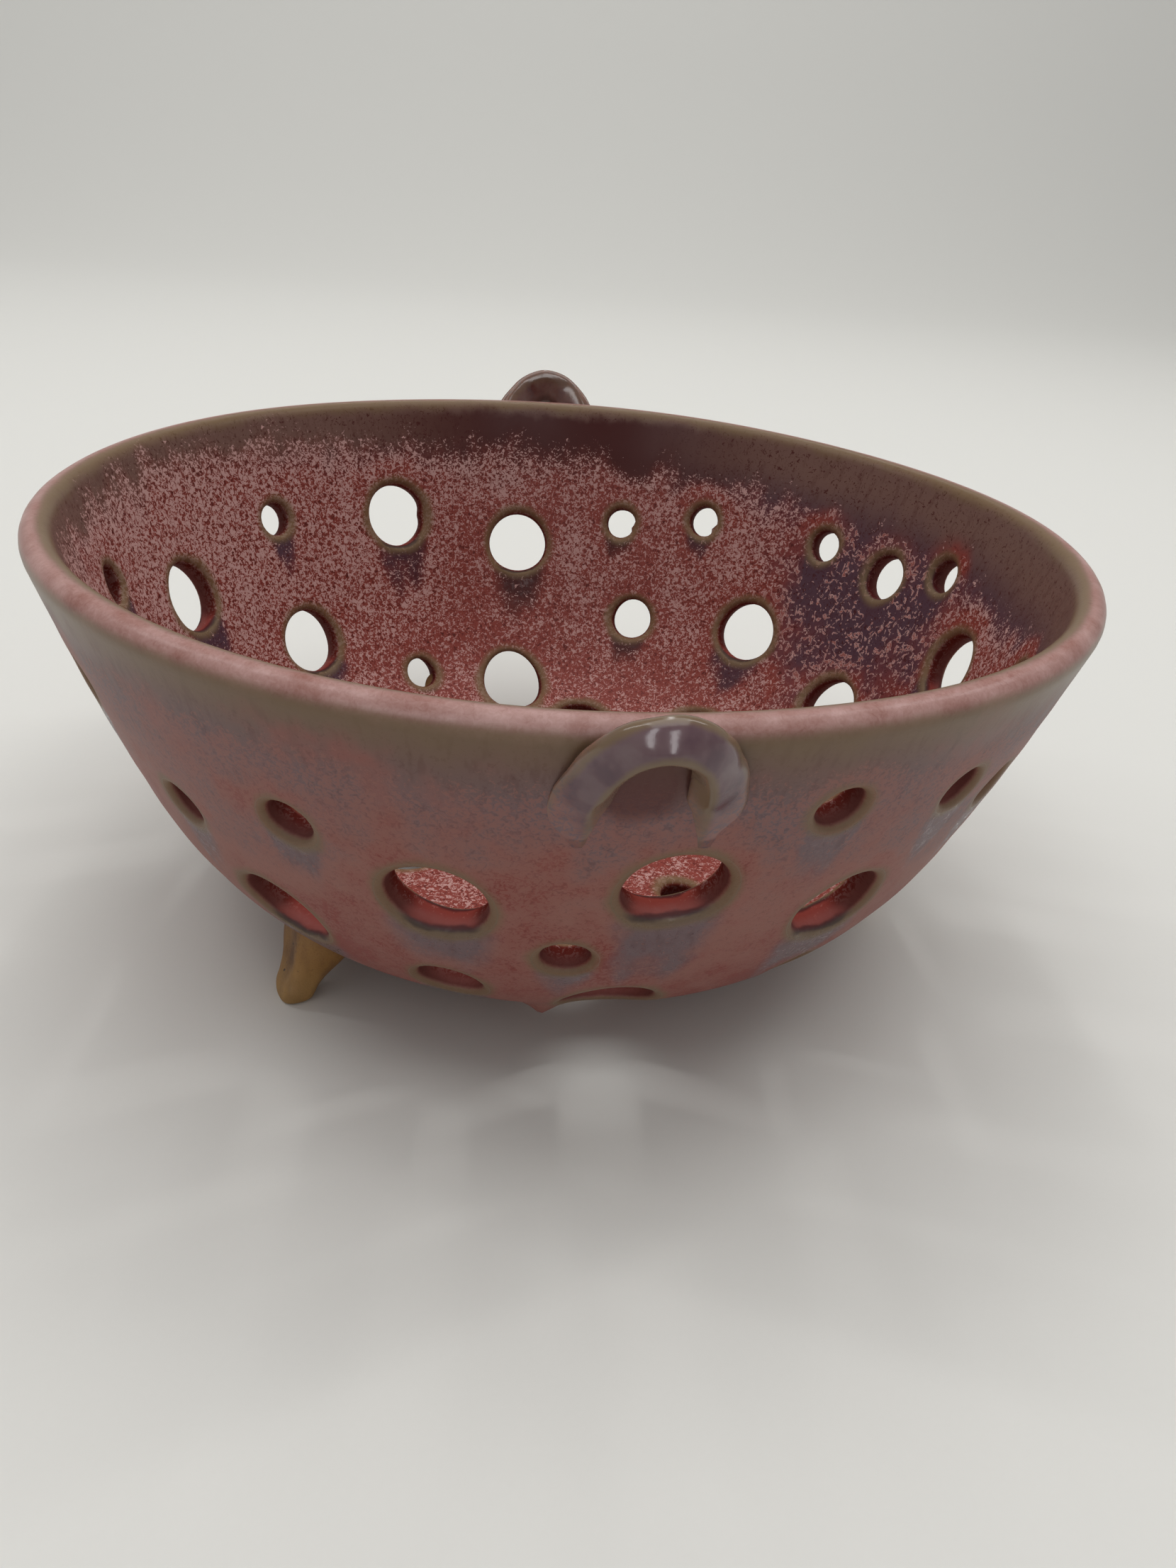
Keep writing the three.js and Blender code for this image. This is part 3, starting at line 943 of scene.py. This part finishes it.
def placed(name, data):
    """A new object in the scene."""
    item = bpy.data.objects.new(name, data)
    bpy.context.scene.collection.objects.link(item)
    return item


def mesh_object(name, points, faces, marks, material):
    """A smooth triangle mesh with its marks as point attributes."""
    mesh = bpy.data.meshes.new(name)
    mesh.from_pydata(points, [], faces)
    mesh.validate()
    for mark, values in marks.items():
        layer = mesh.attributes.new(mark, "FLOAT", "POINT")
        layer.data.foreach_set("value", values.astype(np.float32))
    mesh.shade_smooth()
    mesh.materials.append(material)
    return placed(name, mesh)


# Node trees of the lugs and feet.


def node_tree(name, inputs):
    """An empty geometry tree with named inputs, and the inputs as terms."""
    tree = bpy.data.node_groups.new(name, "GeometryNodeTree")
    for label, kind in inputs:
        tree.interface.new_socket(label, in_out="INPUT", socket_type=kind)
    tree.interface.new_socket("Geometry", in_out="OUTPUT", socket_type="NodeSocketGeometry")
    source = tree.nodes.new("NodeGroupInput")
    terms = {label: Term(tree, source.outputs[label]) for label, _ in inputs}
    return tree, terms


def ring_grid(tree, rings, sides):
    """A grid whose rows become rings, and for each point its ring's place between the ends, whether the ring
    is open (the first and last close to a point) and the angle round the ring."""
    grid = add_node(tree, "GeometryNodeMeshGrid", Vertices_X=rings, Vertices_Y=sides + 1)
    index = Term(tree, tree.nodes.new("GeometryNodeInputIndex").outputs[0])
    row = (index / (sides + 1)).maths("FLOOR")
    turn = index.maths("MODULO", sides + 1.0) * (-2 * math.pi / sides)
    share = ((row - 1) / (rings - 3.0)).clamp()
    end = (rings - 1) / 2
    opened = (row - end).abs().ramp(end - 0.6, end - 0.4, 1, 0)
    return grid.outputs["Mesh"], share, opened, turn


def oblong(turn, power):
    """A rounded oblong of half size one."""
    c = turn.cos()
    s = turn.sin()
    return (
        c.maths("SIGN") * c.abs().maths("POWER", 2 / power),
        s.maths("SIGN") * s.abs().maths("POWER", 2 / power),
    )


def curve_of(tree, value, points):
    """A smooth curve through points between 0 and 1."""
    node = add_node(tree, "ShaderNodeFloatCurve", Value=value)
    curve = node.mapping.curves[0]
    while len(curve.points) < len(points):
        curve.points.new(0.5, 0.5)
    for knot, place in zip(curve.points, points):
        knot.location = place
    node.mapping.update()
    return Term(tree, node.outputs["Value"])


def finish_tree(tree, mesh, position, terms, marks, lively=1.0):
    """Puts the points in place, keeps the marks, closes and smooths the piece, turns it and paints it."""
    for name, value in marks.items():
        keep = add_node(tree, "GeometryNodeStoreNamedAttribute", Geometry=mesh, Name=name, Value=value)
        mesh = keep.outputs["Geometry"]
    mesh = add_node(tree, "GeometryNodeSetPosition", Geometry=mesh, Position=position).outputs[0]
    uneven = add_node(
        tree,
        "ShaderNodeTexNoise",
        {"noise_dimensions": "4D"},
        Vector=tree.nodes.new("GeometryNodeInputPosition").outputs[0],
        W=terms["Seed"] * 7.3,
        Scale=160.0,
        Detail=1.0,
    )
    shift = vector_maths(tree, "SUBTRACT", uneven.outputs["Color"], (0.5, 0.5, 0.5))
    shift = scaled(tree, shift, terms["Uneven"] * lively)
    mesh = add_node(tree, "GeometryNodeSetPosition", Geometry=mesh, Offset=shift).outputs[0]
    mesh = add_node(tree, "GeometryNodeMergeByDistance", Geometry=mesh, Distance=2e-6).outputs[0]
    mesh = add_node(tree, "GeometryNodeSetShadeSmooth", Geometry=mesh).outputs[0]
    piece = add_node(tree, "GeometryNodeGeometryToInstance", Geometry=mesh).outputs[0]
    turned = add_node(
        tree, "GeometryNodeRotateInstances", Instances=piece, Rotation=xyz(tree, 0.0, 0.0, terms["Turn"])
    )
    whole = add_node(tree, "GeometryNodeRealizeInstances", Geometry=turned.outputs[0])
    painted = add_node(tree, "GeometryNodeSetMaterial", Geometry=whole.outputs[0], Material=terms["Material"])
    sink = tree.nodes.new("NodeGroupOutput")
    tree.links.new(painted.outputs[0], sink.inputs["Geometry"])


FLOAT = "NodeSocketFloat"
COMMON = (("Turn", FLOAT), ("Seed", FLOAT), ("Uneven", FLOAT), ("Material", "NodeSocketMaterial"))


def strap_tree(rings=56, sides=32):
    """A strap bent over an arch that grows out of the wall, with its face outward."""
    sizes = ("Half Span", "Root Radius", "Root Height", "Reach", "Rise", "Width", "Thickness", "Lean")
    sizes += ("Flare", "Fillet", "Wall Radius", "Wall Slope")
    tree, terms = node_tree("pulled_strap", [(label, FLOAT) for label in sizes] + list(COMMON))
    mesh, share, opened, turn = ring_grid(tree, rings, sides)
    bend = share * math.pi
    c, s = bend.cos(), bend.sin().maths("MAXIMUM", 0.0)
    ease, square = 0.9, 0.75  # powers of the arch: how softly it leaves the wall, how square it stands
    centre = xyz(
        tree,
        -(terms["Half Span"] * c),
        -(terms["Root Radius"] + terms["Reach"] * s.maths("POWER", ease)),
        terms["Root Height"] + terms["Rise"] * s.maths("POWER", square),
    )
    slow = s.maths("MAXIMUM", 0.02)
    outgoing = terms["Reach"] * c * slow.maths("POWER", ease - 1) * ease
    climb = terms["Rise"] * c * slow.maths("POWER", square - 1) * square
    along = vector_maths(tree, "NORMALIZE", xyz(tree, terms["Half Span"] * s, -outgoing, climb))
    lengthwise = vector_maths(tree, "PROJECT", (0, -1, 0), along)
    outward = vector_maths(tree, "NORMALIZE", vector_maths(tree, "SUBTRACT", (0, -1, 0), lengthwise))
    across = vector_maths(tree, "CROSS_PRODUCT", outward, along)
    u, v = oblong(turn, 3.2)
    wide = u * terms["Width"] * 0.5 * opened
    thick = v * terms["Thickness"] * 0.5 * opened
    lean_c, lean_s = terms["Lean"].cos(), terms["Lean"].sin()
    over = scaled(tree, across, wide * lean_c + thick * lean_s)
    out = scaled(tree, outward, thick * lean_c - wide * lean_s)
    reach = vector_maths(tree, "ADD", over, out)

    # Close to the wall the section grows into a smeared fillet.
    spot = add_node(tree, "ShaderNodeSeparateXYZ", Vector=vector_maths(tree, "ADD", centre, reach))
    px, py, pz = (Term(tree, spot.outputs[axis]) for axis in "XYZ")
    wall = terms["Wall Radius"] + terms["Wall Slope"] * (pz - terms["Root Height"])
    off_wall = (px * px + py * py).maths("SQRT") - wall
    root = (off_wall / terms["Fillet"]).ramp(-0.2, 1.2, 1, 0)
    over = scaled(tree, over, terms["Flare"] * root * root + 1)
    out = scaled(tree, out, 1 - root * 0.4)
    position = vector_maths(tree, "ADD", centre, vector_maths(tree, "ADD", over, out))
    finish_tree(tree, mesh, position, terms, {"across": u, "face": v, "root": root})
    return tree


def foot_tree(line, rings=40, sides=48):
    """A tapered foot that splays to its tip and follows the underside of the shell at its root."""
    sizes = ("Tip Radius", "Splay", "Depth", "Width", "Twist", "Hollow")
    tree, terms = node_tree("clay_foot", [(label, FLOAT) for label in sizes] + list(COMMON))
    mesh, share, opened, turn = ring_grid(tree, rings, sides)
    height = share.maths("POWER", 1.6)
    splay, deep, wide = (curve_of(tree, height, points) for points in (FOOT_SPLAY, FOOT_DEPTH, FOOT_WIDTH))
    u, v = oblong(turn, 2.7)
    facing = turn.cos().maths("MAXIMUM", 0.0).maths("POWER", 6.0) * (height * math.pi).sin()
    a = (u * terms["Depth"] * 0.5 * deep - terms["Hollow"] * facing) * opened
    b = v * terms["Width"] * 0.5 * wide * opened
    twist_c, twist_s = terms["Twist"].cos(), terms["Twist"].sin()
    x = terms["Tip Radius"] - terms["Splay"] * splay + a * twist_c - b * twist_s
    y = a * twist_s + b * twist_c
    radius = (x * x + y * y).maths("SQRT")

    # The shell's height over the radii that a foot spans, in millimetres.
    spots = np.linspace(0, 1, 9)
    low, high, top = 40.0, 80.0, 60.0
    heights = np.interp(low + spots * (high - low), line.r, line.z) / top
    under = curve_of(tree, (radius / MM - low) / (high - low), list(zip(spots.tolist(), heights.tolist())))
    z = height * under * (top * MM)
    marks = {"hollow": facing, "height": height}
    finish_tree(tree, mesh, xyz(tree, x, y, z), terms, marks, lively=height.ramp(0.02, 0.2))
    return tree


def grown_piece(name, tree, values):
    """Runs a tree with its inputs set and keeps the result as a plain mesh object."""
    seedling = placed(name + "_seedling", bpy.data.meshes.new(name))
    modifier = seedling.modifiers.new("grow", "NODES")
    modifier.node_group = tree
    names = {item.name: item.identifier for item in tree.interface.items_tree if item.in_out == "INPUT"}
    for label, value in values.items():
        modifier[names[label]] = value
    graph = bpy.context.evaluated_depsgraph_get()
    mesh = bpy.data.meshes.new_from_object(seedling.evaluated_get(graph), depsgraph=graph)
    if not len(mesh.polygons):
        raise RuntimeError(f"the tree {tree.name} made no faces for {name}")
    seedling.modifiers.clear()
    bpy.data.objects.remove(seedling)
    mesh.name = name
    return placed(name, mesh)


def plain_sizes(settings, *labels):
    """Inputs of a tree whose labels are the names of settings."""
    return {label: getattr(settings, label.lower()) for label in labels}


def seat(piece, node):
    """Rides a finished piece on the bowl in place of its solid."""
    check_closed(piece)
    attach(piece, "root")
    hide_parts(node)


def check_closed(piece):
    """Every edge joins two faces that turn the same way, and the faces look outward."""
    mesh = piece.data
    mesh.calc_loop_triangles()
    corners = np.zeros(len(mesh.loop_triangles) * 3, np.int32)
    mesh.loop_triangles.foreach_get("vertices", corners)
    corners = corners.reshape(-1, 3).astype(np.int64)
    start, end = corners.ravel(), np.roll(corners, -1, axis=1).ravel()
    ways = np.sort(start * len(mesh.vertices) + end)
    back = np.sort(end * len(mesh.vertices) + start)
    if np.any(ways != back) or np.any(ways[1:] == ways[:-1]):
        raise RuntimeError(f"{piece.name} has edges that don't join two faces turned the same way")
    points = np.zeros(len(mesh.vertices) * 3, np.float32)
    mesh.vertices.foreach_get("co", points)
    a, b, c = points.reshape(-1, 3).astype(float)[corners].transpose(1, 0, 2)
    if np.sum(a * np.cross(b, c)) <= 0:
        raise RuntimeError(f"{piece.name} is inside out")


# Operators.


class BERRY_BOWL_OT_shell(bpy.types.Operator):
    """Throw the pierced shell and glaze it"""

    bl_idname = "berry_bowl.shell"
    bl_label = "Make Shell"

    def execute(self, context):
        bowl = context.scene.berry_bowl
        points, faces, marks = ShellMesh(bowl.shell).build(bowl.shell.waviness / MM)
        piece = mesh_object("thrown_shell", points, faces, marks, shell_glaze(bowl.colours))
        seat(piece, "bowl")
        return {"FINISHED"}


class BERRY_BOWL_OT_lugs(bpy.types.Operator):
    """Pull a strap for each side, bend it and lute it under the lip"""

    bl_idname = "berry_bowl.lugs"
    bl_label = "Make Lugs"

    def execute(self, context):
        bowl = context.scene.berry_bowl
        lugs = bowl.lugs
        line = WallLine(bowl.shell)
        root_height = bowl.shell.rim_height - lugs.drop
        root = line.at_height(root_height / MM)
        wall_radius = float(line.radius(root)) * MM
        root_radius = wall_radius + lugs.root_out
        tilt = float(line.tilt(root))
        crest_radius = bowl.shell.rim_radius + lugs.stand_off + lugs.thickness / 2
        tree = strap_tree()
        glaze = strap_glaze(bowl.colours, lugs.roughness)
        twins = (
            ("front", lugs.turn, 1.0, 1.0, 0.0),
            ("back", math.pi - lugs.turn, lugs.back_spread, lugs.back_width, lugs.back_lift),
        )
        for order, (name, turn, spread, widen, lift) in enumerate(twins):
            piece = grown_piece(
                "lug_" + name,
                tree,
                {
                    "Half Span": lugs.half_span * spread,
                    "Root Radius": root_radius,
                    "Root Height": root_height,
                    "Reach": crest_radius - root_radius,
                    "Rise": lugs.drop + lugs.crest + lift,
                    "Width": lugs.width * widen,
                    "Wall Radius": wall_radius + bowl.shell.wall / 2 / math.sin(tilt),
                    "Wall Slope": 1 / math.tan(tilt),
                    "Turn": turn,
                    "Seed": float(order + 1),
                    "Material": glaze,
                    **plain_sizes(lugs, "Thickness", "Flare", "Fillet", "Lean", "Uneven"),
                },
            )
            seat(piece, "handle_" + name)
        return {"FINISHED"}


class BERRY_BOWL_OT_feet(bpy.types.Operator):
    """Shape the bare clay feet and set them under the shell"""

    bl_idname = "berry_bowl.feet"
    bl_label = "Make Feet"

    def execute(self, context):
        bowl = context.scene.berry_bowl
        feet = bowl.feet
        tree = foot_tree(WallLine(bowl.shell))
        clay = bare_clay(bowl.colours)
        for order, (name, azimuth) in enumerate(FEET):
            piece = grown_piece(
                "clay_foot_" + name,
                tree,
                {
                    "Tip Radius": bowl.shell.rim_radius * feet.spread,
                    "Turn": math.radians(azimuth),
                    "Seed": float(order + 1),
                    "Material": clay,
                    **plain_sizes(feet, "Splay", "Depth", "Width", "Twist", "Hollow", "Uneven"),
                },
            )
            seat(piece, "foot_" + name)
        return {"FINISHED"}


def area_lamp(name, place, target, size, power, spread=180, sheen_only=False):
    """A soft rectangular lamp turned to a point, which may give gloss its highlights and nothing else."""
    lamp = bpy.data.lights.new(name, "AREA")
    lamp.shape = "RECTANGLE"
    lamp.size, lamp.size_y = size
    lamp.energy = power
    lamp.spread = math.radians(spread)
    holder = placed(name, lamp)
    holder.location = place
    holder.rotation_euler = (Vector(target) - Vector(place)).to_track_quat("-Z", "Y").to_euler()
    holder.visible_diffuse = not sheen_only


def studio_floor(colours):
    """A pale floor that sweeps up behind the bowl."""
    bends = np.radians(np.arange(0, 91, 3))
    line = [(FLOOR_FRONT, 0.0)]
    line += [(FLOOR_TURN + FLOOR_ROUND * math.sin(a), FLOOR_ROUND * (1 - math.cos(a))) for a in bends]
    line += [(FLOOR_TURN + FLOOR_ROUND, FLOOR_TOP)]
    points = [(x, y, z) for y, z in line for x in (-FLOOR_HALF, FLOOR_HALF)]
    faces = [(2 * i, 2 * i + 1, 2 * i + 3, 2 * i + 2) for i in range(len(line) - 1)]
    mesh = bpy.data.meshes.new("studio_floor")
    mesh.from_pydata(points, [], faces)
    mesh.shade_smooth()
    material, tree, place = new_material("studio_paper")
    shade = blend(tree, noise(tree, place, 900, 3.0, 0.6) * 0.06, colours.floor, colours.fibre)
    coat(tree, Base_Color=shade, Roughness=0.85)
    mesh.materials.append(material)
    floor = placed("studio_floor", mesh)


def studio_air(stage):
    """Even light from all round, which the camera sees as a paler backdrop."""
    world = bpy.data.worlds.new("studio_air")
    world.use_nodes = True
    tree = world.node_tree
    sky = tree.nodes["Background"]
    sky.inputs["Color"].default_value = (1, 1, 1, 1)
    seen = Term(tree, tree.nodes.new("ShaderNodeLightPath").outputs["Is Camera Ray"])
    feed(tree, sky.inputs["Strength"], seen * (stage.backdrop - stage.sky) + stage.sky)
    return world


def photo_camera():
    """The photograph's viewpoint: close, looking down into the bowl, and a little rolled."""
    heading, pitch, roll = (math.radians(a) for a in (VIEW_HEADING, VIEW_PITCH, VIEW_ROLL))
    level = Vector((math.cos(heading), -math.sin(heading), 0))
    ahead = Vector((math.sin(heading), math.cos(heading), -math.tan(pitch))) * math.cos(pitch)
    upward = level.cross(ahead)
    right = level * math.cos(roll) + upward * math.sin(roll)
    top = upward * math.cos(roll) - level * math.sin(roll)
    camera = bpy.data.cameras.new("viewpoint")
    camera.sensor_width = VIEW_SENSOR
    camera.lens = VIEW_LENS
    camera.clip_start = 0.01
    holder = placed("viewpoint", camera)
    turned = Matrix((right, top, -ahead)).transposed().to_4x4()
    holder.matrix_world = Matrix.Translation(VIEW_PLACE) @ turned
    bpy.context.scene.camera = holder


class BERRY_BOWL_OT_stage(bpy.types.Operator):
    """Lay the pale floor, set the soft lamps and place the camera"""

    bl_idname = "berry_bowl.stage"
    bl_label = "Make Stage"

    def execute(self, context):
        stage = context.scene.berry_bowl.stage
        studio_floor(context.scene.berry_bowl.colours)
        context.scene.world = studio_air(stage)
        aim = (0, 0, 0.04)
        area_lamp("overhead", (0.0, 0.0, 1.35), aim, (1.3, 1.3), stage.overhead)
        backs = (("left", (-0.72, 0.25, 0.95)), ("middle", (0.05, 0.65, 1.05)), ("right", (0.72, 0.25, 0.95)))
        for side, place in backs:
            area_lamp("back_" + side, place, aim, (0.07, 0.7), stage.back)
        area_lamp("sweep", (0.0, 0.2, 3.0), (0.0, 2.6, 1.2), (3.0, 1.0), stage.sweep, spread=100)
        for side, place in (("left", (-0.54, -0.82, 0.73)), ("right", (0.17, -1.06, 0.57))):
            area_lamp("window_" + side, place, aim, (0.2, 0.85), stage.window, sheen_only=True)
        photo_camera()
        context.scene.view_settings.view_transform = "Standard"
        return {"FINISHED"}


class BERRY_BOWL_PT_sidebar(bpy.types.Panel):
    """Settings and steps of the berry bowl"""

    bl_label = "Berry Bowl"
    bl_space_type = "VIEW_3D"
    bl_region_type = "UI"
    bl_category = "Berry Bowl"

    def draw(self, context):
        bowl = context.scene.berry_bowl
        for group in ("shell", "lugs", "feet", "colours", "stage"):
            box = self.layout.box()
            box.label(text=group.capitalize())
            settings = getattr(bowl, group)
            for name in settings.__annotations__:
                box.prop(settings, name)
        for step in STEPS:
            self.layout.operator(step.bl_idname)


STEPS = (BERRY_BOWL_OT_shell, BERRY_BOWL_OT_lugs, BERRY_BOWL_OT_feet, BERRY_BOWL_OT_stage)
GROUPS = (BowlShell, BowlLugs, BowlFeet, BowlColours, BowlStage, BerryBowl)


def register():
    """Adds the settings, steps and panel."""
    for item in (*GROUPS, *STEPS, BERRY_BOWL_PT_sidebar):
        bpy.utils.register_class(item)
    bpy.types.Scene.berry_bowl = PointerProperty(type=BerryBowl)


def unregister():
    """Removes the settings, steps and panel."""
    del bpy.types.Scene.berry_bowl
    for item in reversed((*GROUPS, *STEPS, BERRY_BOWL_PT_sidebar)):
        bpy.utils.unregister_class(item)


def main():
    """Makes the bowl and its stage."""
    register()
    bpy.ops.berry_bowl.shell()
    bpy.ops.berry_bowl.lugs()
    bpy.ops.berry_bowl.feet()
    bpy.ops.berry_bowl.stage()


if __name__ == "__main__":
    main()
